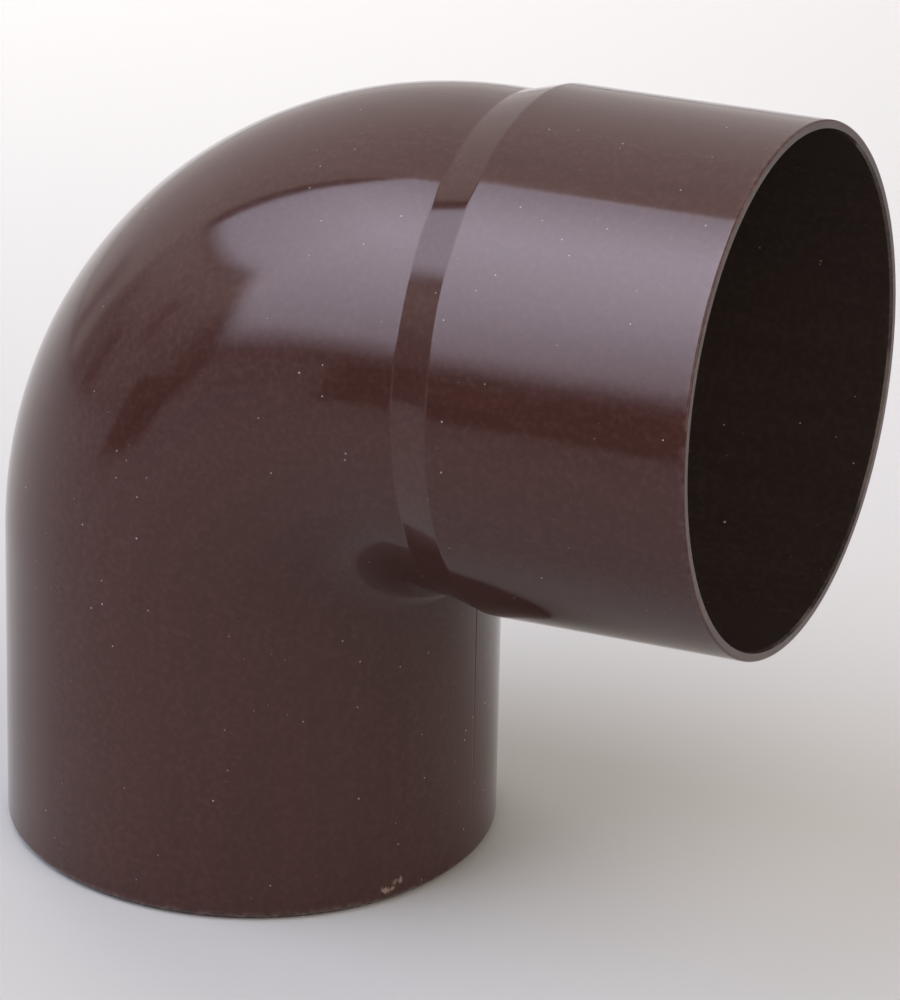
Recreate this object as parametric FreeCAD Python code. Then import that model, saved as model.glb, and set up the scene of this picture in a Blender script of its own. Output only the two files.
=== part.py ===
import FreeCAD, Part
import math
import os

# Rainwater downspout elbow, spigot by socket, moulded in one piece with a thin wall.
# The spigot stands on z = 0 with its axis on Z. The bend lies in the XZ plane and turns the bore
# towards +X, so the socket points along +X, and up by what the bend lacks of a right angle.
# All sizes are in millimetres.

# Pipe system
pipe_diameter = 80.0          # outside of the pipe, and so of the spigot, bend and neck
wall = 1.8                    # spigot, bend and neck
socket_wall = 1.6
pipe_clearance = 0.2          # gap all round between a pipe and the socket's bore

# Run of the bore
bend_angle = 87.5             # degrees between the spigot's axis and the socket's
crotch_radius = 0.6           # outside of the wall, at the bend's inner side
spigot_length = 50.4          # end face to the start of the bend
neck_length = 4.4             # end of the bend to the cone
cone_length = 6.6             # widening from neck to socket, which stops the pipe inside
socket_length = 42.2          # cone to mouth

# Moulded tapers and edges
spigot_draft = 0.2            # degrees by which the spigot's bore opens towards its end
spigot_land = 0.5             # flat left on the spigot's end, inside its chamfer
chamfer_height = 1.1          # the chamfer leads the spigot into a socket
chamfer_edge_radius = 0.8     # where the chamfer meets the spigot's side
cone_edge_radius = 2.0        # both ends of the cone, outside and inside
rim_edge_radius = 0.35        # outer edge of the mouth
lead_in_depth = 0.25          # chamfer inside the mouth, which leads the pipe in
lead_in_length = 0.5

# Sizes that follow
pipe_radius = pipe_diameter / 2
bore_radius = pipe_radius - wall
spigot_end_bore = bore_radius + spigot_length * math.tan(math.radians(spigot_draft))
bend_radius = pipe_radius + crotch_radius
socket_bore_radius = pipe_radius + pipe_clearance
socket_radius = socket_bore_radius + socket_wall

AXIS_Z = FreeCAD.Vector(0, 0, 1)
AXIS_Y = FreeCAD.Vector(0, 1, 0)
BEND_START = FreeCAD.Vector(0, 0, spigot_length)
BEND_CENTRE = FreeCAD.Vector(bend_radius, 0, spigot_length)


def rounded_corner(before, corner, after, radius):
    """Start, middle and end of the arc of a radius that rounds a corner between two neighbours."""
    to_before = (before - corner).normalize()
    to_after = (after - corner).normalize()
    half_angle = to_before.getAngle(to_after) / 2
    setback = radius / math.tan(half_angle)
    inset = radius / math.sin(half_angle) - radius
    bisector = (to_before + to_after).normalize()
    return corner + to_before * setback, corner + bisector * inset, corner + to_after * setback


def wall_section(corners):
    """Face in the XZ plane from corners (distance from Z, height, edge radius), 0 for a sharp one."""
    points = [FreeCAD.Vector(distance, 0, height) for distance, height, _ in corners]
    arcs = []
    for i, (_, _, radius) in enumerate(corners):
        if radius:
            arcs.append(rounded_corner(points[i - 1], points[i], points[(i + 1) % len(points)], radius))
        else:
            arcs.append((points[i], points[i], points[i]))
    edges = []
    for i, (start, middle, end) in enumerate(arcs):
        if corners[i][2]:
            edges.append(Part.Arc(start, middle, end).toShape())
        edges.append(Part.makeLine(end, arcs[(i + 1) % len(arcs)][0]))
    return Part.Face(Part.Wire(edges))


def turned(section):
    """Solid of revolution of a section about the Z axis."""
    return section.revolve(FreeCAD.Vector(0, 0, 0), AXIS_Z, 360)


def spigot():
    """Plain end with a chamfered nose, whose bore opens slightly towards the end."""
    return turned(wall_section([
        (spigot_end_bore, 0, 0),
        (spigot_end_bore + spigot_land, 0, 0),
        (pipe_radius, chamfer_height, chamfer_edge_radius),
        (pipe_radius, spigot_length, 0),
        (bore_radius, spigot_length, 0),
    ]))


def bend():
    """Ring section swept about the bend's centre, so tight that its inner side is nearly a corner."""
    outer = Part.Wire(Part.makeCircle(pipe_radius, BEND_START, AXIS_Z))
    inner = Part.Wire(Part.makeCircle(bore_radius, BEND_START, AXIS_Z))
    return Part.Face([outer, inner]).revolve(BEND_CENTRE, AXIS_Y, bend_angle)


def socket():
    """Neck, cone and socket as one turned wall, built upright and swung to the end of the bend."""
    cone_start = spigot_length + neck_length
    cone_end = cone_start + cone_length
    mouth = cone_end + socket_length
    run = turned(wall_section([
        (bore_radius, spigot_length, 0),
        (pipe_radius, spigot_length, 0),
        (pipe_radius, cone_start, cone_edge_radius),
        (socket_radius, cone_end, cone_edge_radius),
        (socket_radius, mouth, rim_edge_radius),
        (socket_bore_radius + lead_in_depth, mouth, 0),
        (socket_bore_radius, mouth - lead_in_length, 0),
        (socket_bore_radius, cone_end, cone_edge_radius),
        (bore_radius, cone_start, cone_edge_radius),
    ]))
    run.rotate(BEND_CENTRE, AXIS_Y, bend_angle)
    return run


def elbow():
    """The three runs joined into the one moulded solid."""
    return spigot().fuse([bend(), socket()]).removeSplitter()


os.makedirs("parts", exist_ok=True)
shape = elbow()
shape.exportStep("parts/elbow.step")

print("bend radius on the centreline %.2f mm" % bend_radius)
print("socket bore %.2f mm, outside %.2f mm" % (2 * socket_bore_radius, 2 * socket_radius))
print("solids %d, valid %s, volume %.1f mm3" % (len(shape.Solids), shape.isValid(), shape.Volume))
print("centre of mass", shape.Solids[0].CenterOfMass)
print("box", shape.BoundBox)
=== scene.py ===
"""A rainwater downspout elbow in brown PVC: its moulded surface and finish, in a small studio.

The elbow is one wall that a pipe run carries. The run is a line that goes straight up out of the
spigot, round the bend and straight on through the socket, and every size of the moulding is a
distance along the run or away from it.
"""

import logging
import math
from collections.abc import Mapping, Sequence
from dataclasses import dataclass, field
from enum import Enum

import bpy
import numpy as np
from mathutils import Matrix, Vector


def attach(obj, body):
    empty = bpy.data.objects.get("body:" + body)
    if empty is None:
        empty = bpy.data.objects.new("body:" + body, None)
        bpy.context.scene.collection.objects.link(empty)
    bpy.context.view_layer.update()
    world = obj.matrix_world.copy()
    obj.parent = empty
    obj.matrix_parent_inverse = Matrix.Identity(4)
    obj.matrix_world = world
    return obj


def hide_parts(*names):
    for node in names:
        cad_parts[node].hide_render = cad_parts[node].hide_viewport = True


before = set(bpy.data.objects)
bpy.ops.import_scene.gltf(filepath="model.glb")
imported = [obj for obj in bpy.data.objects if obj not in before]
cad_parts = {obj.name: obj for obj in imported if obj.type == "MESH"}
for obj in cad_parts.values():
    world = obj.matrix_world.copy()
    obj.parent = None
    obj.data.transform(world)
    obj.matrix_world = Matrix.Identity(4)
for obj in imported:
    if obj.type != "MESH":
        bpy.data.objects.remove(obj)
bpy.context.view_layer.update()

MM = 0.001
# A Mix node has an output for each type of data, all of one name, and this is the colour's.
MIXED_COLOUR = 2

log = logging.getLogger("downspout_elbow")

Array = np.ndarray
Socket = bpy.types.NodeSocket
Tree = bpy.types.NodeTree


def linear_colour(hex_code: str) -> tuple[float, float, float, float]:
    """Turns an sRGB colour into the linear one that shaders take.

    Args:
        hex_code: The colour as "#RRGGBB".

    Returns:
        Linear red, green and blue, and an alpha of one.
    """
    encoded = np.array([int(hex_code[i:i + 2], 16) for i in (1, 3, 5)]) / 255
    linear = np.where(encoded <= 0.04045, encoded / 12.92, ((encoded + 0.055) / 1.055) ** 2.4)
    return (*linear.tolist(), 1.0)


def add_node(
    tree: Tree,
    kind: str,
    settings: Mapping[str | int, object] | None = None,
    links: Mapping[str | int, Socket] | None = None,
) -> bpy.types.Node:
    """Adds one node with its settings and links.

    Args:
        tree: The node tree that gets the node.
        kind: The node's type, such as "ShaderNodeTexNoise".
        settings: Values by property name, or by input name or number.
        links: Output sockets by the input name or number that each goes into.

    Returns:
        The new node.
    """
    made = tree.nodes.new(kind)
    for name, value in (settings or {}).items():
        if isinstance(name, str) and hasattr(made, name):
            setattr(made, name, value)
        else:
            made.inputs[name].default_value = value
    for name, source in (links or {}).items():
        tree.links.new(source, made.inputs[name])
    return made


def new_material(name: str) -> bpy.types.Material:
    """Makes a material with an empty node tree.

    Args:
        name: The material's name.

    Returns:
        The material.
    """
    made = bpy.data.materials.new(name)
    made.use_nodes = True
    made.node_tree.nodes.clear()
    return made


def smooth_step(x: Array, start: float, end: float) -> Array:
    """Goes from 0 at start to 1 at end with no kink: 3t squared less 2t cubed, t of the way."""
    t = np.clip((x - start) / (end - start), 0, 1)
    return t * t * (3 - 2 * t)


def grid_faces(rows: int, columns: int, close_rows: bool, close_columns: bool) -> Array:
    """Numbers the quads of a grid of points stored row by row.

    Args:
        rows: Rows of points.
        columns: Points in a row.
        close_rows: Whether the last row joins the first.
        close_columns: Whether the last point of a row joins its first.

    Returns:
        Four point numbers for each quad.
    """
    i = np.arange(rows if close_rows else rows - 1)[:, None] * columns
    j = np.arange(columns if close_columns else columns - 1)[None, :]
    i_next, j_next = (i + columns) % (rows * columns), (j + 1) % columns
    return np.stack([i + j, i_next + j, i_next + j_next, i + j_next], -1).reshape(-1, 4)


def mesh_from_quads(name: str, points: Array, quads: Array) -> bpy.types.Mesh:
    """Makes a smooth mesh of quads.

    Args:
        name: The mesh's name.
        points: Places in metres, three numbers each.
        quads: Four point numbers for each face, anticlockwise from outside.

    Returns:
        The mesh.
    """
    mesh = bpy.data.meshes.new(name)
    mesh.vertices.add(len(points))
    mesh.vertices.foreach_set("co", points.astype(np.float32).ravel())
    mesh.loops.add(quads.size)
    mesh.loops.foreach_set("vertex_index", quads.astype(np.int32).ravel())
    mesh.polygons.add(len(quads))
    mesh.polygons.foreach_set("loop_start", np.arange(0, quads.size, 4, dtype=np.int32))
    mesh.polygons.foreach_set("use_smooth", np.ones(len(quads), dtype=bool))
    mesh.update(calc_edges=True)
    mesh.validate()
    return mesh


def add_object(
    name: str, mesh: bpy.types.Mesh, material: bpy.types.Material,
) -> bpy.types.Object:
    """Puts a mesh with its material into the scene, at the origin.

    Args:
        name: The object's name.
        mesh: Its mesh.
        material: Its only material.

    Returns:
        The object.
    """
    piece = bpy.data.objects.new(name, mesh)
    mesh.materials.append(material)
    bpy.context.scene.collection.objects.link(piece)
    return piece


class PartingLine(Enum):
    """Where the mould's two outer halves met: an angle round the run in degrees and a depth in mm.

    The halves were a little out of line, so the crotch's line lies a degree off the bend's plane.
    """

    BACK_OF_BEND = (0.0, 0.01)
    CROTCH = (181.0, 0.09)

    @property
    def angle(self) -> float:
        """The angle round the run, in radians."""
        return math.radians(self.value[0])

    @property
    def depth(self) -> float:
        """How deep the line lies in the wall."""
        return self.value[1]


@dataclass(frozen=True)
class PipeRun:
    """The line that carries the wall: straight up, round the bend, straight on. Sizes in mm."""

    spigot_length: float = 50.4
    bend_radius: float = 40.6
    bend_angle: float = 87.5

    @property
    def turn(self) -> float:
        """The bend's angle in radians."""
        return math.radians(self.bend_angle)

    @property
    def bend_end(self) -> float:
        """How far along the run the bend ends."""
        return self.spigot_length + self.bend_radius * self.turn

    def directions(self, along: Array) -> tuple[Array, Array, Array]:
        """Works out the run's line and the two directions that turn with it.

        With t the angle turned so far, the line is at (R - R cos t, 0, min(along, L) + R sin t),
        plus what lies past the bend times the final heading. The heading is (sin t, 0, cos t) and
        the back of the bend lies towards (-cos t, 0, sin t).

        Args:
            along: Distances along the run.

        Returns:
            Points on the line, headings and directions towards the back of the bend.
        """
        t = np.clip((along - self.spigot_length) / self.bend_radius, 0, self.turn)
        flat = np.zeros_like(t)
        heading = np.stack([np.sin(t), flat, np.cos(t)], -1)
        back = np.stack([-np.cos(t), flat, np.sin(t)], -1)
        height = np.minimum(along, self.spigot_length) + self.bend_radius * np.sin(t)
        line = np.stack([self.bend_radius * (1 - np.cos(t)), flat, height], -1)
        past = np.maximum(along - self.bend_end, 0)
        return line + past[..., None] * heading, heading, back


@dataclass(frozen=True)
class Section:
    """The wall's outline as rows, with a normal at the start and the end of each strip."""

    along: Array
    away: Array
    start_normal: Array
    end_normal: Array


@dataclass(frozen=True)
class Corner:
    """A corner of the wall's outline, and the radius that rounds it. Sizes in mm."""

    along: float
    away: float
    radius: float = 0.0


def trace_section(
    corners: Sequence[Corner], run: PipeRun, arc_steps: int, turn_step: float,
) -> Section:
    """Traces a closed outline of straight edges and rounded corners, with the solid on its right.

    An edge's normal is its direction turned a quarter to the left. An arc starts a setback of
    radius times tan(half the turn) before the corner, and its normals turn evenly from one edge's
    to the next one's. A straight edge is cut where the run bends, once for each turn_step.

    Args:
        corners: The outline's corners in order.
        run: The run that the outline will follow.
        arc_steps: Strips in each rounded corner.
        turn_step: The most that the run turns within one strip, in degrees.

    Returns:
        The rows, with the normals of each strip between a row and the next.
    """
    place = np.array([(c.along, c.away) for c in corners])
    edge = np.roll(place, -1, axis=0) - place
    heading = edge / np.linalg.norm(edge, axis=1, keepdims=True)
    facing = np.stack([-heading[:, 1], heading[:, 0]], -1)
    rows, starts, ends = [], [], []
    for i, corner in enumerate(corners):
        following = (i + 1) % len(corners)
        before, after = facing[i - 1], facing[i]
        turned = math.atan2(before[0] * after[1] - before[1] * after[0], before @ after)
        setback = corner.radius * math.tan(abs(turned) / 2)
        leave = place[i] + setback * heading[i]
        if corner.radius:
            signed_radius = math.copysign(corner.radius, turned)
            centre = place[i] - setback * heading[i - 1] + signed_radius * before
            first = math.atan2(before[1], before[0])
            angles = first + np.linspace(0, turned, arc_steps + 1)
            normals = np.stack([np.cos(angles), np.sin(angles)], -1)
            rows.append((centre - signed_radius * normals)[:-1])
            starts.append(normals[:-1])
            ends.append(normals[1:])
        next_turn = math.acos(np.clip(facing[i] @ facing[following], -1, 1))
        next_setback = corners[following].radius * math.tan(next_turn / 2)
        reach = place[following] - next_setback * heading[i]
        bent = np.clip([leave[0], reach[0]], run.spigot_length, run.bend_end)
        turned_on_edge = math.degrees(abs(bent[1] - bent[0]) / run.bend_radius)
        cuts = 1 + math.ceil(turned_on_edge / turn_step)
        shares = np.linspace(0, 1, cuts, endpoint=False)[:, None]
        rows.append(leave + shares * (reach - leave))
        starts.append(np.tile(after, (cuts, 1)))
        ends.append(np.tile(after, (cuts, 1)))
    rows, starts, ends = (np.concatenate(part) for part in (rows, starts, ends))
    return Section(rows[:, 0], rows[:, 1], starts, ends)


@dataclass(frozen=True)
class SmallMark:
    """A round mark on the surface, full in its core. Sizes in mm, the angle in degrees."""

    along: float
    away: float
    angle: float
    radius: float
    core: float = 0.3

    def mask(self, tree: Tree, run: Socket) -> Socket:
        """Adds a spot that is one in the mark's core and falls smoothly to nothing at its radius.

        Args:
            tree: The finish's node tree.
            run: The run coordinates, which are (along, away cos angle, away sin angle).

        Returns:
            The spot.
        """
        phi = math.radians(self.angle)
        middle = (self.along, self.away * math.cos(phi), self.away * math.sin(phi))
        gap = add_node(tree, "ShaderNodeVectorMath", {"operation": "DISTANCE", 1: middle}, {0: run})
        return add_node(
            tree, "ShaderNodeMapRange",
            {"interpolation_type": "SMOOTHSTEP", "From Min": self.core * self.radius,
             "From Max": self.radius, "To Min": 1.0, "To Max": 0.0},
            {"Value": gap.outputs["Value"]},
        ).outputs["Result"]


@dataclass(frozen=True)
class MouldedPvc:
    """Rigid PVC (PVC-U), injection moulded in a polished mould, chocolate brown right through.

    The polished mould gives the eye a clear gloss that mirrors the studio with nearly crisp edges.
    The melt that froze as it flowed leaves faint long streaks in the gloss, a shallow waviness and
    a fine grain. Handling leaves dust nibs all over and pale rubbed edges at both ends. The bore is
    painted a greyer, paler brown: a painted reflection that stands in for its faint neutral sheen.
    Sizes are in mm, and a span is the part of a noise's range that a pattern uses.

    The real grain and the real nibs are about a tenth of a millimetre across, too fine to show, so
    both are drawn coarser, at the sizes below.
    """

    name: str = "pvc_u_injection_moulded_brown"
    colour: str = "#37211C"
    # Greyer and paler in the bore: a painted reflection that stands in for the faint neutral sheen
    # of the shaded bore.
    bore_sheen_colour: str = "#312926"
    ior: float = 1.53
    roughness: float = 0.075
    specular_level: float = 0.36
    specular_tint: str = "#FFEFEB"
    # What freezes in as the melt flows.
    streak_width: float = 3.0
    streak_length: float = 36.0
    streak_shade: float = 0.06
    streak_span: tuple[float, float] = (0.35, 0.7)
    streak_gloss: tuple[float, float] = (0.85, 1.4)
    grain_size: float = 1.0
    grain_shade: float = 0.08
    shade_span: tuple[float, float] = (0.3, 0.7)
    patch_size: float = 34.0
    patch_roughness: float = 0.03
    peel_size: float = 2.4
    peel_height: float = 0.005
    wave_size: float = 22.0
    wave_height: float = 0.05
    # What handling and storage leave on it.
    film_colour: str = "#8F827C"
    film_cover: float = 0.018
    film_span: tuple[float, float] = (0.48, 0.72)
    dust_colour: str = "#A89A92"
    nib_spacing: float = 2.1
    nib_radius: float = 0.24
    nib_height: float = 0.03
    nibless_share: float = 0.4
    bore_speck: SmallMark = SmallMark(along=144.9, away=40.2, angle=147.9, radius=0.3)
    pit_colour: str = "#1C1210"
    pit: SmallMark = SmallMark(along=39.3, away=40.0, angle=173.5, radius=0.28)
    rubbed_colour: str = "#7D6A64"
    rub_width: float = 1.3
    rub_size: float = 1.1
    rub_span: tuple[float, float] = (0.44, 0.6)
    mouth_wear: float = 0.12
    end_wear: float = 0.5
    end_band: tuple[float, float] = (0.4, 1.4)
    scuffs: tuple[SmallMark, ...] = (
        SmallMark(along=2.4, away=40.0, angle=210.8, radius=1.4),
        SmallMark(along=2.9, away=40.0, angle=209.0, radius=1.2),
        SmallMark(along=3.5, away=40.0, angle=207.2, radius=1.1),
    )
    dull_roughness: float = 0.4

    def nibs(self, tree: Tree, place: Socket) -> Socket:
        """Adds the dust nibs: round spots at some points of a scattered lattice, of many sizes.

        Args:
            tree: The finish's node tree.
            place: Object coordinates in mm.

        Returns:
            One in the middle of a nib and nothing away from it.
        """
        scatter = add_node(
            tree, "ShaderNodeTexVoronoi", {"Scale": 1 / self.nib_spacing, "Randomness": 1.0},
            {"Vector": place},
        )
        chance = add_node(
            tree, "ShaderNodeSeparateColor", {}, {"Color": scatter.outputs["Color"]},
        )
        size = add_node(
            tree, "ShaderNodeMapRange",
            {"From Min": self.nibless_share, "To Max": self.nib_radius / self.nib_spacing},
            {"Value": chance.outputs["Red"]},
        )
        return add_node(
            tree, "ShaderNodeMapRange",
            {"interpolation_type": "SMOOTHSTEP", "To Min": 1.0, "To Max": 0.0},
            {"Value": scatter.outputs["Distance"], "From Max": size.outputs["Result"]},
        ).outputs["Result"]

    def rubbed(self, tree: Tree, run: Socket, mouth: float) -> Socket:
        """Adds the rubbed places: a ragged band at both ends, and the scuff near the spigot's end.

        Args:
            tree: The finish's node tree.
            run: The run coordinates.
            mouth: Where the mouth lies along the run.

        Returns:
            How much the surface is rubbed, from nothing to one.
        """
        along = add_node(tree, "ShaderNodeSeparateXYZ", {}, {"Vector": run}).outputs["X"]
        near_mouth = add_node(
            tree, "ShaderNodeMapRange",
            {"From Min": mouth - self.rub_width, "From Max": mouth, "To Max": self.mouth_wear},
            {"Value": along},
        )
        near_end = add_node(
            tree, "ShaderNodeMapRange",
            {"From Min": self.end_band[0] * self.rub_width,
             "From Max": self.end_band[1] * self.rub_width,
             "To Min": self.end_wear, "To Max": 0.0},
            {"Value": along},
        )
        worn = near_mouth.outputs["Result"]
        scuffs = (scuff.mask(tree, run) for scuff in self.scuffs)
        for spot in (near_end.outputs["Result"], *scuffs):
            worn = add_node(
                tree, "ShaderNodeMath", {"operation": "MAXIMUM"}, {0: worn, 1: spot},
            ).outputs["Value"]
        clouds = add_node(
            tree, "ShaderNodeTexNoise", {"Scale": 1 / self.rub_size, "Detail": 4.0},
            {"Vector": run},
        )
        ragged = add_node(
            tree, "ShaderNodeMapRange",
            {"From Min": self.rub_span[0], "From Max": self.rub_span[1]},
            {"Value": clouds.outputs["Fac"]},
        )
        return add_node(
            tree, "ShaderNodeMath", {"operation": "MULTIPLY"},
            {0: worn, 1: ragged.outputs["Result"]},
        ).outputs["Value"]

    def plastic(self, tree: Tree, bore: Socket, streaks: Socket, grain: Socket) -> Socket:
        """Adds the plastic's own colour, greyer in the bore as a painted reflection, and shaded by
        streaks and grain.

        Args:
            tree: The finish's node tree.
            bore: One in the bore and nothing outside.
            streaks: The flow streaks.
            grain: The fine grain.

        Returns:
            The colour.
        """
        # The bore's greyer colour is a painted reflection, not the plastic's own colour.
        colour = add_node(
            tree, "ShaderNodeMix",
            {"data_type": "RGBA", "A": linear_colour(self.colour),
             "B": linear_colour(self.bore_sheen_colour)},
            {"Factor": bore},
        ).outputs[MIXED_COLOUR]
        low, high = self.shade_span
        for pattern, share in ((streaks, self.streak_shade), (grain, self.grain_shade)):
            shade = add_node(
                tree, "ShaderNodeMapRange",
                {"From Min": low, "From Max": high, "To Min": 1 - share, "To Max": 1 + share},
                {"Value": pattern},
            )
            colour = add_node(
                tree, "ShaderNodeVectorMath", {"operation": "SCALE"},
                {0: colour, "Scale": shade.outputs["Result"]},
            ).outputs["Vector"]
        return colour

    def gloss(self, tree: Tree, streaks: Socket, patches: Socket, dull: Socket) -> Socket:
        """Adds the roughness: it follows the streaks, is cloudy, and is high on dull spots.

        Args:
            tree: The finish's node tree.
            streaks: The flow streaks.
            patches: Wide faint clouds.
            dull: One where dust or rubbing has taken the gloss, and nothing elsewhere.

        Returns:
            The roughness.
        """
        clear, streaked = (share * self.roughness for share in self.streak_gloss)
        flowed = add_node(
            tree, "ShaderNodeMapRange",
            {"From Min": self.streak_span[0], "From Max": self.streak_span[1],
             "To Min": clear, "To Max": streaked},
            {"Value": streaks},
        )
        cloudy = add_node(
            tree, "ShaderNodeMath", {"operation": "MULTIPLY_ADD", 1: self.patch_roughness},
            {0: patches, 2: flowed.outputs["Result"]},
        )
        return add_node(
            tree, "ShaderNodeMath", {"operation": "MULTIPLY_ADD", 1: self.dull_roughness},
            {0: dull, 2: cloudy.outputs["Value"]},
        ).outputs["Value"]

    def relief(self, tree: Tree, place: Socket, spots: Socket) -> Socket:
        """Adds the small heights: shallow waves, a fine peel on them, then the nibs and the pit.

        Args:
            tree: The finish's node tree.
            place: Object coordinates in mm.
            spots: One on a nib, minus one in the pit and nothing elsewhere.

        Returns:
            The normal.
        """
        waves = add_node(
            tree, "ShaderNodeTexNoise", {"Scale": 1 / self.wave_size, "Detail": 1.0},
            {"Vector": place},
        )
        peel = add_node(
            tree, "ShaderNodeTexNoise", {"Scale": 1 / self.peel_size, "Detail": 2.0},
            {"Vector": place},
        )
        layers = (
            (waves.outputs["Fac"], self.wave_height),
            (peel.outputs["Fac"], self.peel_height),
            (spots, self.nib_height),
        )
        below: dict[str, Socket] = {}
        for pattern, height in layers:
            bump = add_node(
                tree, "ShaderNodeBump", {"Strength": 1.0, "Distance": height * MM},
                {"Height": pattern, **below},
            )
            below = {"Normal": bump.outputs["Normal"]}
        return below["Normal"]

    def material(self, mouth: float) -> bpy.types.Material:
        """Builds the finish from the piece's run coordinates, which follow the tube seamlessly.

        Args:
            mouth: Where the mouth lies along the run, in mm.

        Returns:
            The finish.
        """
        made = new_material(self.name)
        tree = made.node_tree
        run = add_node(
            tree, "ShaderNodeAttribute", {"attribute_name": "run_mm"},
        ).outputs["Vector"]
        bore = add_node(tree, "ShaderNodeAttribute", {"attribute_name": "bore"}).outputs["Fac"]
        place = add_node(
            tree, "ShaderNodeMapping", {"Scale": (1 / MM,) * 3},
            {"Vector": add_node(tree, "ShaderNodeTexCoord").outputs["Object"]},
        ).outputs["Vector"]
        stretched = add_node(
            tree, "ShaderNodeMapping",
            {"Scale": (self.streak_width / self.streak_length, 1.0, 1.0)}, {"Vector": run},
        )
        streaks = add_node(
            tree, "ShaderNodeTexNoise", {"Scale": 1 / self.streak_width, "Detail": 3.0},
            {"Vector": stretched.outputs["Vector"]},
        ).outputs["Fac"]
        grain = add_node(
            tree, "ShaderNodeTexNoise", {"Scale": 1 / self.grain_size, "Detail": 2.0},
            {"Vector": place},
        ).outputs["Fac"]
        patches = add_node(
            tree, "ShaderNodeTexNoise", {"Scale": 1 / self.patch_size, "Detail": 2.0},
            {"Vector": place},
        ).outputs["Fac"]
        film = add_node(
            tree, "ShaderNodeMapRange",
            {"From Min": self.film_span[0], "From Max": self.film_span[1],
             "To Max": self.film_cover},
            {"Value": grain},
        ).outputs["Result"]
        nib = self.nibs(tree, place)
        speck = self.bore_speck.mask(tree, run)
        dust = add_node(
            tree, "ShaderNodeMath", {"operation": "MAXIMUM"}, {0: nib, 1: speck},
        ).outputs["Value"]
        rubbed = self.rubbed(tree, run, mouth)
        pit = self.pit.mask(tree, run)

        colour = self.plastic(tree, bore, streaks, grain)
        covers = (
            (self.film_colour, film), (self.rubbed_colour, rubbed),
            (self.dust_colour, dust), (self.pit_colour, pit),
        )
        for cover, mask in covers:
            colour = add_node(
                tree, "ShaderNodeMix", {"data_type": "RGBA", "B": linear_colour(cover)},
                {"Factor": mask, "A": colour},
            ).outputs[MIXED_COLOUR]
        dull = add_node(
            tree, "ShaderNodeMath", {"operation": "MAXIMUM"}, {0: nib, 1: rubbed},
        ).outputs["Value"]
        spots = add_node(
            tree, "ShaderNodeMath", {"operation": "SUBTRACT"}, {0: nib, 1: pit},
        ).outputs["Value"]
        shader = add_node(
            tree, "ShaderNodeBsdfPrincipled",
            {"IOR": self.ior, "Specular IOR Level": self.specular_level,
             "Specular Tint": linear_colour(self.specular_tint)},
            {"Base Color": colour, "Roughness": self.gloss(tree, streaks, patches, dull),
             "Normal": self.relief(tree, place, spots)},
        )
        add_node(tree, "ShaderNodeOutputMaterial", {}, {"Surface": shader.outputs["BSDF"]})
        return made


@dataclass(frozen=True)
class MattPaint:
    """Matt emulsion paint, rolled on a smooth board: pale and even, with a faint broad sheen."""

    name: str = "pale_matt_paint"
    colour: str = "#93908C"
    specular_level: float = 0.2
    roughness: tuple[float, float] = (0.75, 0.9)
    clouds_per_metre: float = 9.0

    def material(self) -> bpy.types.Material:
        """Builds the paint, whose roughness is a little cloudy from the roller.

        Returns:
            The finish.
        """
        made = new_material(self.name)
        tree = made.node_tree
        clouds = add_node(
            tree, "ShaderNodeTexNoise", {"Scale": self.clouds_per_metre, "Detail": 2.0},
            {"Vector": add_node(tree, "ShaderNodeTexCoord").outputs["Object"]},
        )
        roughness = add_node(
            tree, "ShaderNodeMapRange",
            {"To Min": self.roughness[0], "To Max": self.roughness[1]},
            {"Value": clouds.outputs["Fac"]},
        )
        shader = add_node(
            tree, "ShaderNodeBsdfPrincipled",
            {"Base Color": linear_colour(self.colour), "Specular IOR Level": self.specular_level},
            {"Roughness": roughness.outputs["Result"]},
        )
        add_node(tree, "ShaderNodeOutputMaterial", {}, {"Surface": shader.outputs["BSDF"]})
        return made


@dataclass(frozen=True)
class BlackFlock:
    """Black flocked card: it takes in the light that falls on it, and shows dark in the gloss."""

    name: str = "black_flock"
    colour: str = "#1E1C1B"
    specular_level: float = 0.1
    roughness: float = 0.95

    def material(self) -> bpy.types.Material:
        """Builds the flock.

        Returns:
            The finish.
        """
        made = new_material(self.name)
        tree = made.node_tree
        shader = add_node(
            tree, "ShaderNodeBsdfPrincipled",
            {"Base Color": linear_colour(self.colour), "Roughness": self.roughness,
             "Specular IOR Level": self.specular_level},
        )
        add_node(tree, "ShaderNodeOutputMaterial", {}, {"Surface": shader.outputs["BSDF"]})
        return made


@dataclass(frozen=True)
class DiffusionCloth:
    """Woven diffusion cloth lit from behind: it glows softly on its inner side.

    Its outer side is clear, so that it hides nothing from a camera that stands outside it.
    """

    name: str

    def material(self) -> bpy.types.Material:
        """Builds the cloth, whose glow is the piece's own light attribute.

        Returns:
            The finish.
        """
        made = new_material(self.name)
        tree = made.node_tree
        light = add_node(tree, "ShaderNodeAttribute", {"attribute_name": "light"})
        side = add_node(tree, "ShaderNodeNewGeometry")
        glow = add_node(tree, "ShaderNodeEmission", {}, {"Color": light.outputs["Vector"]})
        clear = add_node(tree, "ShaderNodeBsdfTransparent")
        either = add_node(
            tree, "ShaderNodeMixShader", {},
            {0: side.outputs["Backfacing"], 1: glow.outputs["Emission"],
             2: clear.outputs["BSDF"]},
        )
        add_node(tree, "ShaderNodeOutputMaterial", {}, {"Surface": either.outputs["Shader"]})
        return made


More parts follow.
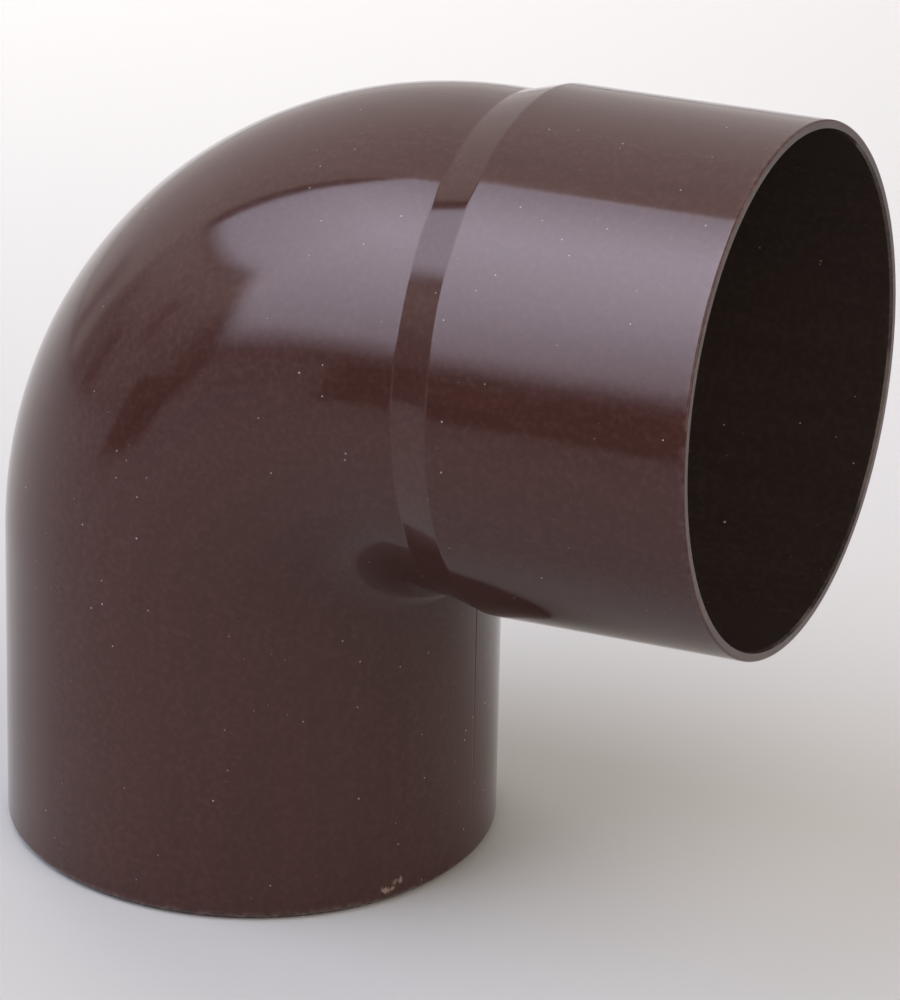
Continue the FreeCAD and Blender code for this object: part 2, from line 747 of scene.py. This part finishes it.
@dataclass
class MouldedElbow:
    """The elbow's one wall, with its fillets, its chamfers and the mould's fine parting lines.

    Sizes are in mm, along the run or away from it.
    """

    run: PipeRun = field(default_factory=PipeRun)
    finish: MouldedPvc = field(default_factory=MouldedPvc)
    pipe_radius: float = 40.0
    wall: float = 1.8
    spigot_draft: float = 0.2
    spigot_land: float = 0.5
    chamfer_height: float = 1.1
    chamfer_edge_radius: float = 0.8
    neck_length: float = 4.4
    cone_length: float = 6.6
    cone_edge_radius: float = 2.0
    socket_length: float = 42.2
    socket_bore_radius: float = 40.2
    socket_wall: float = 1.6
    rim_edge_radius: float = 0.35
    lead_in_depth: float = 0.25
    lead_in_length: float = 0.5
    seam_half_width: float = 0.32
    seam_fade: tuple[float, float] = (24.0, 33.0)
    # How finely the wall is cut: columns round it, strips in a fillet, degrees of bend in a strip.
    columns: int = 288
    seam_columns: int = 9
    seam_margin: float = 1.5
    arc_steps: int = 7
    turn_step: float = 1.0
    # How far a normal leans away from the run where the wall faces out, or in where it is the bore.
    facing_lean: float = 0.1

    @property
    def mouth(self) -> float:
        """Where the mouth lies along the run."""
        return self.run.bend_end + self.neck_length + self.cone_length + self.socket_length

    def corners(self) -> list[Corner]:
        """Lists the wall's corners: along the outside to the mouth, then back through the bore.

        Returns:
            The corners in order, with the solid on the right.
        """
        bore = self.pipe_radius - self.wall
        flare = self.run.spigot_length * math.tan(math.radians(self.spigot_draft))
        spigot_bore = bore + flare
        cone_start = self.run.bend_end + self.neck_length
        cone_end = cone_start + self.cone_length
        socket_outside = self.socket_bore_radius + self.socket_wall
        return [
            Corner(0, spigot_bore + self.spigot_land),
            Corner(self.chamfer_height, self.pipe_radius, self.chamfer_edge_radius),
            Corner(self.run.spigot_length, self.pipe_radius),
            Corner(self.run.bend_end, self.pipe_radius),
            Corner(cone_start, self.pipe_radius, self.cone_edge_radius),
            Corner(cone_end, socket_outside, self.cone_edge_radius),
            Corner(self.mouth, socket_outside, self.rim_edge_radius),
            Corner(self.mouth, self.socket_bore_radius + self.lead_in_depth),
            Corner(self.mouth - self.lead_in_length, self.socket_bore_radius),
            Corner(cone_end, self.socket_bore_radius, self.cone_edge_radius),
            Corner(cone_start, bore, self.cone_edge_radius),
            Corner(self.run.bend_end, bore),
            Corner(self.run.spigot_length, bore),
            Corner(0, spigot_bore),
        ]

    def angles(self) -> Array:
        """Lists the angles round the run: an even ring, and close columns across parting lines.

        Returns:
            Angles in radians, in order.
        """
        reach = self.seam_half_width / self.pipe_radius
        even = np.arange(self.columns) * 2 * math.pi / self.columns
        close = np.linspace(-reach, reach, self.seam_columns)
        seams = np.array([line.angle for line in PartingLine])
        gap = np.abs(np.angle(np.exp(1j * (even[:, None] - seams)))).min(axis=1)
        kept = even[gap > self.seam_margin * reach]
        return np.sort(np.concatenate([kept, (seams[:, None] + close).ravel()]))

    def seam(self, along: Array, angle: Array) -> tuple[Array, Array]:
        """Works out the parting line's groove, and its slope round the run.

        The groove is one cosine wave wide, -d (1 + cos(pi x / w)) / 2 for a distance x from the
        line under w, and it fades out down the spigot.

        Args:
            along: Distance along the run of each row.
            angle: Angle round the run of each column.

        Returns:
            Heights, none above the surface, and slopes.
        """
        lines = tuple(PartingLine)
        centres = np.array([line.angle for line in lines])
        offset = np.angle(np.exp(1j * (angle[:, None] - centres)))
        nearest = np.abs(offset).argmin(axis=1)
        x = offset[np.arange(len(angle)), nearest] * self.pipe_radius
        phase = math.pi * np.clip(x / self.seam_half_width, -1, 1)
        depth = np.array([line.depth for line in lines])[nearest]
        depth = depth * smooth_step(along, *self.seam_fade)[:, None]
        slope = depth * np.sin(phase) * math.pi / (2 * self.seam_half_width)
        return -depth * (1 + np.cos(phase)) / 2, slope

    def lay_normals(
        self, outline: Array, heading: Array, radial: Array, around: Array, slope: Array,
    ) -> Array:
        """Lays the outline's normals out round the run.

        A normal is its part along the run times the heading, plus its part away from it times the
        radial direction less the groove's slope times the direction round the run, made one long.

        Args:
            outline: The outline's normals, one for each row.
            heading: The run's heading at each row.
            radial: Directions away from the run, by row and column.
            around: Directions round the run, by row and column.
            slope: The groove's slope, by row and column.

        Returns:
            Normals by row and column.
        """
        leaning = radial - slope[..., None] * around
        laid = outline[:, 0, None, None] * heading[:, None] + outline[:, 1, None, None] * leaning
        return laid / np.linalg.norm(laid, axis=-1, keepdims=True)

    def build(self) -> bpy.types.Object:
        """Carries the wall's outline round and along the run.

        A point is the run's line plus its distance away times the direction at angle phi, which
        is cos(phi) back + sin(phi) Y. The piece's own run_mm attribute unrolls it again, as
        (along, away cos(phi), away sin(phi)), and bore is one on the faces of the bore.

        Returns:
            The elbow, at the origin.
        """
        section = trace_section(self.corners(), self.run, self.arc_steps, self.turn_step)
        phi = self.angles()
        cos, sin = np.cos(phi)[:, None], np.sin(phi)[:, None]
        line, heading, back = self.run.directions(section.along)
        across = np.array([0.0, 1.0, 0.0])
        radial = back[:, None] * cos + across * sin
        around = -back[:, None] * sin + across * cos
        lean = section.start_normal[:, 1]
        # The groove is only in the wall's outer third, where it faces outwards.
        outside = (lean > self.facing_lean) & (section.away > self.pipe_radius - self.wall / 3)
        height, slope = self.seam(section.along, phi)
        height, slope = height * outside[:, None], slope * outside[:, None]
        away = section.away[:, None] + height
        points = (line[:, None] + away[..., None] * radial) * MM

        this_row = (heading, radial, around, slope)
        next_row = (np.roll(part, -1, axis=0) for part in this_row)
        start = self.lay_normals(section.start_normal, *this_row)
        end = self.lay_normals(section.end_normal, *next_row)
        corner_normals = np.stack(
            [start, end, np.roll(end, -1, axis=1), np.roll(start, -1, axis=1)], axis=2,
        )

        rows, columns = away.shape
        faces = grid_faces(rows, columns, close_rows=True, close_columns=True)
        mesh = mesh_from_quads("moulded_elbow", points.reshape(-1, 3), faces)
        along = np.broadcast_to(section.along[:, None], away.shape)
        unrolled = np.stack([along, away * cos[:, 0], away * sin[:, 0]], -1).astype(np.float32)
        bore = np.repeat(lean < -self.facing_lean, columns).astype(np.float32)
        run_mm = mesh.attributes.new("run_mm", "FLOAT_VECTOR", "POINT")
        run_mm.data.foreach_set("vector", unrolled.ravel())
        mesh.attributes.new("bore", "FLOAT", "POINT").data.foreach_set("value", bore)
        mesh.normals_split_custom_set(corner_normals.reshape(-1, 3).astype(np.float32))
        return add_object("moulded_elbow", mesh, self.finish.material(self.mouth))

    def place(self) -> bpy.types.Object:
        """Builds the elbow, hangs it on the root body and hides the CAD elbow that it stands in
        for.

        Returns:
            The elbow.
        """
        piece = self.build()
        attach(piece, "root")
        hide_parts("elbow")
        log.info("%s: %d faces", piece.name, len(piece.data.polygons))
        return piece


@dataclass(frozen=True)
class Ramp:
    """A share that grows evenly from a first value at start to one at end."""

    share: float = 1.0
    start: float = 0.0
    end: float = 1.0

    def at(self, x: Array) -> Array:
        """The share at x."""
        return self.share + (1 - self.share) * np.clip(
            (x - self.start) / (self.end - self.start), 0, 1,
        )


@dataclass(frozen=True)
class Gap:
    """An upright dim gap in a patch of light. Angles in degrees, depth 0 for none, 1 for black."""

    azimuth: float
    half_width: float
    elevation: tuple[float, float]
    depth: float
    soft_foot: float = 2.0
    soft_top: float = 3.0

    def left_over(self, azimuth: Array, elevation: Array) -> Array:
        """Works out the light that the gap leaves.

        It is one less the depth times a bell curve across and a smooth step at the foot and top.

        Args:
            azimuth: Azimuths.
            elevation: Elevations, in an array of the same shape.

        Returns:
            The share left for each direction.
        """
        bell = np.exp(-(((azimuth - self.azimuth) / self.half_width) ** 2))
        foot, top = self.elevation
        risen = smooth_step(elevation, foot - self.soft_foot, foot + self.soft_foot)
        passed = smooth_step(elevation, top - self.soft_top, top + self.soft_top)
        return 1 - self.depth * bell * risen * (1 - passed)


@dataclass(frozen=True)
class LightPatch:
    """A lit patch of a screen. Angles in degrees, light in radiance, where one is white.

    The foot may sink between two azimuths, from the patch's own foot to a lower one, and soften
    on the way. The first side may lean out between two elevations.
    """

    azimuth: tuple[float, float]
    elevation: tuple[float, float]
    radiance: float
    tint: str = "#FFFFFF"
    soft_sides: tuple[float, float] = (8.0, 8.0)
    soft_foot: tuple[float, float] = (4.0, 4.0)
    soft_top: float = 6.0
    sunk_foot: float | None = None
    sinks_between: tuple[float, float] = (-61.0, -45.0)
    lean: float = 0.0
    leans_between: tuple[float, float] = (52.0, 68.0)
    across: Ramp = Ramp()
    upwards: Ramp = Ramp()
    gaps: tuple[Gap, ...] = ()

    def light(self, azimuth: Array, elevation: Array) -> Array:
        """Works out the patch's light by direction.

        It is the radiance and tint times a smooth step across each soft edge, the two ramps and
        what the gaps leave.

        Args:
            azimuth: Azimuths.
            elevation: Elevations, in an array of the same shape.

        Returns:
            Red, green and blue for each direction.
        """
        low, high = self.azimuth
        low = low - self.lean * smooth_step(elevation, *self.leans_between)
        foot, softness = self.elevation[0], self.soft_foot[0]
        if self.sunk_foot is not None:
            sunk = smooth_step(azimuth, *self.sinks_between)
            foot = foot + (self.sunk_foot - foot) * sunk
            softness = softness + (self.soft_foot[1] - softness) * sunk
        share = smooth_step((azimuth - low) / self.soft_sides[0], 0, 1)
        share *= smooth_step((high - azimuth) / self.soft_sides[1], 0, 1)
        share *= smooth_step((elevation - foot) / softness, 0, 1)
        share *= smooth_step((self.elevation[1] - elevation) / self.soft_top, 0, 1)
        share *= self.across.at(azimuth) * self.upwards.at(elevation)
        for gap in self.gaps:
            share *= gap.left_over(azimuth, elevation)
        return share[..., None] * self.radiance * np.array(linear_colour(self.tint)[:3])


@dataclass(frozen=True)
class CurvedSheet:
    """A tall curved sheet that stands round the elbow, out of the camera's sight.

    Directions are in degrees from the place that the camera looks at. Azimuth 0 is straight in
    front of the plane of the bend and grows towards the mouth's side. The radius is in metres.
    Without patches it is a plain dark card. A backdrop is the other way round: the camera sees
    it, and it neither lights nor shows in the gloss.
    """

    name: str
    azimuth: tuple[float, float]
    elevation: tuple[float, float]
    patches: tuple[LightPatch, ...] = ()
    radius: float = 1.6
    columns: int = 60
    rows: int = 40
    backdrop: bool = False

    def build(self, target: Vector) -> bpy.types.Object:
        """Stands the sheet round a target, no lower than the floor, and gives it its light.

        A point at azimuth a and elevation e is radius (sin a, -cos a, tan e) from the target.

        Args:
            target: The place that directions are measured from.

        Returns:
            The sheet.
        """
        azimuth, elevation = np.meshgrid(
            np.linspace(*self.azimuth, self.columns), np.linspace(*self.elevation, self.rows),
        )
        a, e = np.radians(azimuth), np.radians(elevation)
        points = np.stack([np.sin(a), -np.cos(a), np.tan(e)], -1) * self.radius + np.array(target)
        points[..., 2] = np.maximum(points[..., 2], 0)
        faces = grid_faces(self.rows, self.columns, close_rows=False, close_columns=False)
        mesh = mesh_from_quads(self.name, points.reshape(-1, 3), faces)
        dark = np.zeros((*azimuth.shape, 3))
        light = sum((patch.light(azimuth, elevation) for patch in self.patches), dark)
        attribute = mesh.attributes.new("light", "FLOAT_VECTOR", "POINT")
        attribute.data.foreach_set("vector", light.astype(np.float32).ravel())
        finish = DiffusionCloth("diffusion_cloth_" + self.name) if self.patches else BlackFlock()
        sheet = add_object(self.name, mesh, finish.material())
        sheet.visible_camera = self.backdrop
        sheet.visible_diffuse = not self.backdrop
        sheet.visible_glossy = not self.backdrop
        sheet.visible_shadow = not self.backdrop
        log.info("%s: %d faces", sheet.name, len(mesh.polygons))
        return sheet


@dataclass(frozen=True)
class SoftBox:
    """A square soft box that lights only the floor. Metres, watts and degrees."""

    name: str
    place: tuple[float, float, float]
    aim: tuple[float, float, float]
    power: float
    side: float = 0.5
    spread: float = 120.0

    def build(self, floor: bpy.types.Object) -> bpy.types.Object:
        """Hangs the soft box at its place and turns it to its aim.

        Args:
            floor: The floor, which alone takes its light.

        Returns:
            The lamp, which the gloss doesn't mirror.
        """
        data = bpy.data.lights.new(self.name, "AREA")
        data.size = self.side
        data.energy = self.power
        data.spread = math.radians(self.spread)
        lamp = bpy.data.objects.new(self.name, data)
        place = Vector(self.place)
        turned = (Vector(self.aim) - place).to_track_quat("-Z", "Y").to_matrix()
        lamp.matrix_world = Matrix.Translation(place) @ turned.to_4x4()
        lamp.visible_glossy = False
        lit = bpy.data.collections.new("lit_by_" + self.name)
        lit.objects.link(floor)
        lamp.light_linking.receiver_collection = lit
        bpy.context.scene.collection.objects.link(lamp)
        log.info("%s: %.1f W", lamp.name, self.power)
        return lamp


@dataclass(frozen=True)
class Viewpoint:
    """The photograph's camera. Angles in degrees, the target, distance and lens in mm."""

    azimuth: float = 25.07
    elevation: float = 24.84
    roll: float = 1.27
    target: tuple[float, float, float] = (32.33, 4.83, 60.13)
    distance: float = 992.1
    lens: float = 224.93
    sensor: float = 36.0
    sees_metres: float = 50.0

    def place(self) -> bpy.types.Object:
        """Stands the camera on its line of sight and turns it by its roll.

        Returns:
            The scene's camera.
        """
        a, e, r = (math.radians(angle) for angle in (self.azimuth, self.elevation, self.roll))
        right = Vector((math.cos(a), math.sin(a), 0))
        back = Vector((math.sin(a) * math.cos(e), -math.cos(a) * math.cos(e), math.sin(e)))
        up = back.cross(right)
        rolled_right = math.cos(r) * right + math.sin(r) * up
        rolled_up = math.cos(r) * up - math.sin(r) * right
        data = bpy.data.cameras.new("viewpoint")
        data.lens = self.lens
        data.sensor_width = self.sensor
        data.clip_end = self.sees_metres
        camera = bpy.data.objects.new("viewpoint", data)
        stand = (Vector(self.target) + self.distance * back) * MM
        turned = Matrix((rolled_right, rolled_up, back)).transposed()
        camera.matrix_world = Matrix.Translation(stand) @ turned.to_4x4()
        bpy.context.scene.collection.objects.link(camera)
        bpy.context.scene.camera = camera
        return camera


# A tall window-like screen high on the left makes the broad highlight. Its foot sinks in front,
# its left side leans out near the top, and it is dimmer to the left and low down.
WINDOW_SCREEN = LightPatch(
    azimuth=(-92.3, -1), elevation=(26, 80), radiance=9.5, tint="#DFE7FF",
    soft_sides=(1.2, 30.0), soft_foot=(5.0, 14.0), sunk_foot=5.5, lean=7.0,
    across=Ramp(0.55, -94, -52), upwards=Ramp(0.56, 20, 54),
)
# The dim zone under it, whose gaps are the upright dark streaks at the bend's left.
SCREEN_FOOT = LightPatch(
    azimuth=(-97, -48), elevation=(-6, 30), radiance=0.95, tint="#FFF6F3",
    soft_sides=(2.0, 10.0), soft_foot=(2.0, 2.0), upwards=Ramp(0.5, 8, 22),
    gaps=(
        Gap(azimuth=-91, half_width=4, elevation=(-2, 15), depth=0.4),
        Gap(azimuth=-82, half_width=3.4, elevation=(-7, 8), depth=0.9),
        Gap(azimuth=-70, half_width=3.0, elevation=(8, 17), depth=0.6),
    ),
)
# A faint patch low in front, between the two dark cards, which lifts the spigot's middle.
LOW_FRONT = LightPatch(
    azimuth=(-48, -18), elevation=(-6, 9), radiance=0.5, tint="#FFF6F3",
    soft_sides=(4.0, 5.0), soft_foot=(2.0, 2.0),
)
# The wall behind, which the top band and the left edge mirror.
BACK_WALL = LightPatch(
    azimuth=(-186, -95), elevation=(-6, 84), radiance=1.2, tint="#FFF8F6",
    soft_sides=(3.0, 2.0), soft_foot=(1.0, 1.0), upwards=Ramp(0.72, 10, 46),
    gaps=(
        Gap(azimuth=-106, half_width=4.5, elevation=(-8, 9), depth=0.5),
        Gap(azimuth=-95.5, half_width=3.0, elevation=(-8, 9), depth=0.3),
    ),
)
# The fills: in front on the right, behind on the right, and a stronger part towards the mouth.
FRONT_FILL = LightPatch(azimuth=(20, 90), elevation=(0, 60), radiance=2.2, tint="#FFF3E8")
BACK_FILL = LightPatch(azimuth=(94, 172), elevation=(0, 52), radiance=1.0, tint="#FFF6F0")
MOUTH_FILL = LightPatch(azimuth=(94, 130), elevation=(3, 52), radiance=1.6, tint="#FFF6F0")
# The paper that closes the view behind the elbow, a little darker at the horizon.
PALE_PAPER = LightPatch(
    azimuth=(-400, 400), elevation=(-40, 120), radiance=0.72, tint="#FFF9F8",
    upwards=Ramp(0.8, -3, 9),
)


@dataclass
class Studio:
    """A pale floor under soft screens, with the camera where the photograph was taken."""

    viewpoint: Viewpoint = field(default_factory=Viewpoint)
    paint: MattPaint = field(default_factory=MattPaint)
    floor_half_side: float = 6.0
    air_colour: str = "#DDE4FF"
    air_radiance: float = 0.2
    lamps: tuple[SoftBox, ...] = (
        SoftBox("back_floor_lamp", place=(-0.28, 0.45, 0.55), aim=(-0.24, 0.4, 0.0), power=2.8),
        SoftBox(
            "far_floor_lamp", place=(-0.84, 0.71, 0.7), aim=(-0.84, 0.71, 0.0), power=6.0,
            side=0.8,
        ),
        SoftBox("right_floor_lamp", place=(0.3, -0.2, 0.4), aim=(0.14, -0.09, 0.0), power=1.0),
    )
    sheets: tuple[CurvedSheet, ...] = (
        CurvedSheet(
            "left_screen", azimuth=(-182, -1), elevation=(-3, 80), columns=228, rows=105,
            patches=(WINDOW_SCREEN, SCREEN_FOOT, LOW_FRONT, BACK_WALL),
        ),
        CurvedSheet(
            "front_fill_screen", azimuth=(20, 90), elevation=(0, 60), patches=(FRONT_FILL,),
        ),
        CurvedSheet(
            "back_fill_screen", azimuth=(94, 172), elevation=(0, 52),
            patches=(BACK_FILL, MOUTH_FILL),
        ),
        CurvedSheet(
            "pale_backdrop", azimuth=(-180, 180), elevation=(-4, 60), radius=1.15, backdrop=True,
            patches=(PALE_PAPER,),
        ),
        CurvedSheet(
            "dark_card_left", azimuth=(-59.5, -47), elevation=(-9, 4.5), radius=0.5, columns=8,
            rows=4,
        ),
        CurvedSheet(
            "dark_card_front", azimuth=(-26, -10), elevation=(-8, 8), radius=0.5, columns=8,
            rows=4,
        ),
    )

    def floor(self) -> bpy.types.Object:
        """Lays the floor: one square under everything.

        Returns:
            The floor.
        """
        corners = np.array([(-1, -1, 0), (1, -1, 0), (1, 1, 0), (-1, 1, 0)], dtype=float)
        one_face = np.array([[0, 1, 2, 3]])
        mesh = mesh_from_quads("studio_floor", corners * self.floor_half_side, one_face)
        floor = add_object("studio_floor", mesh, self.paint.material())
        log.info("%s: %.0f m wide", floor.name, 2 * self.floor_half_side)
        return floor

    def air(self) -> None:
        """Fills the rest of the room with dim even light."""
        world = bpy.data.worlds.new("studio_air")
        world.use_nodes = True
        glow = world.node_tree.nodes["Background"]
        glow.inputs["Color"].default_value = linear_colour(self.air_colour)
        glow.inputs["Strength"].default_value = self.air_radiance
        bpy.context.scene.world = world

    def build(self) -> None:
        """Sets up the floor, the light and the camera, and shows colours as they are."""
        floor = self.floor()
        self.air()
        target = Vector(self.viewpoint.target) * MM
        for sheet in self.sheets:
            sheet.build(target)
        for lamp in self.lamps:
            lamp.build(floor)
        self.viewpoint.place()
        bpy.context.scene.view_settings.view_transform = "Standard"


def main() -> None:
    """Builds the elbow and the studio."""
    logging.basicConfig(level=logging.INFO, format="%(name)s: %(message)s")
    MouldedElbow().place()
    Studio().build()


if __name__ == "__main__":
    main()
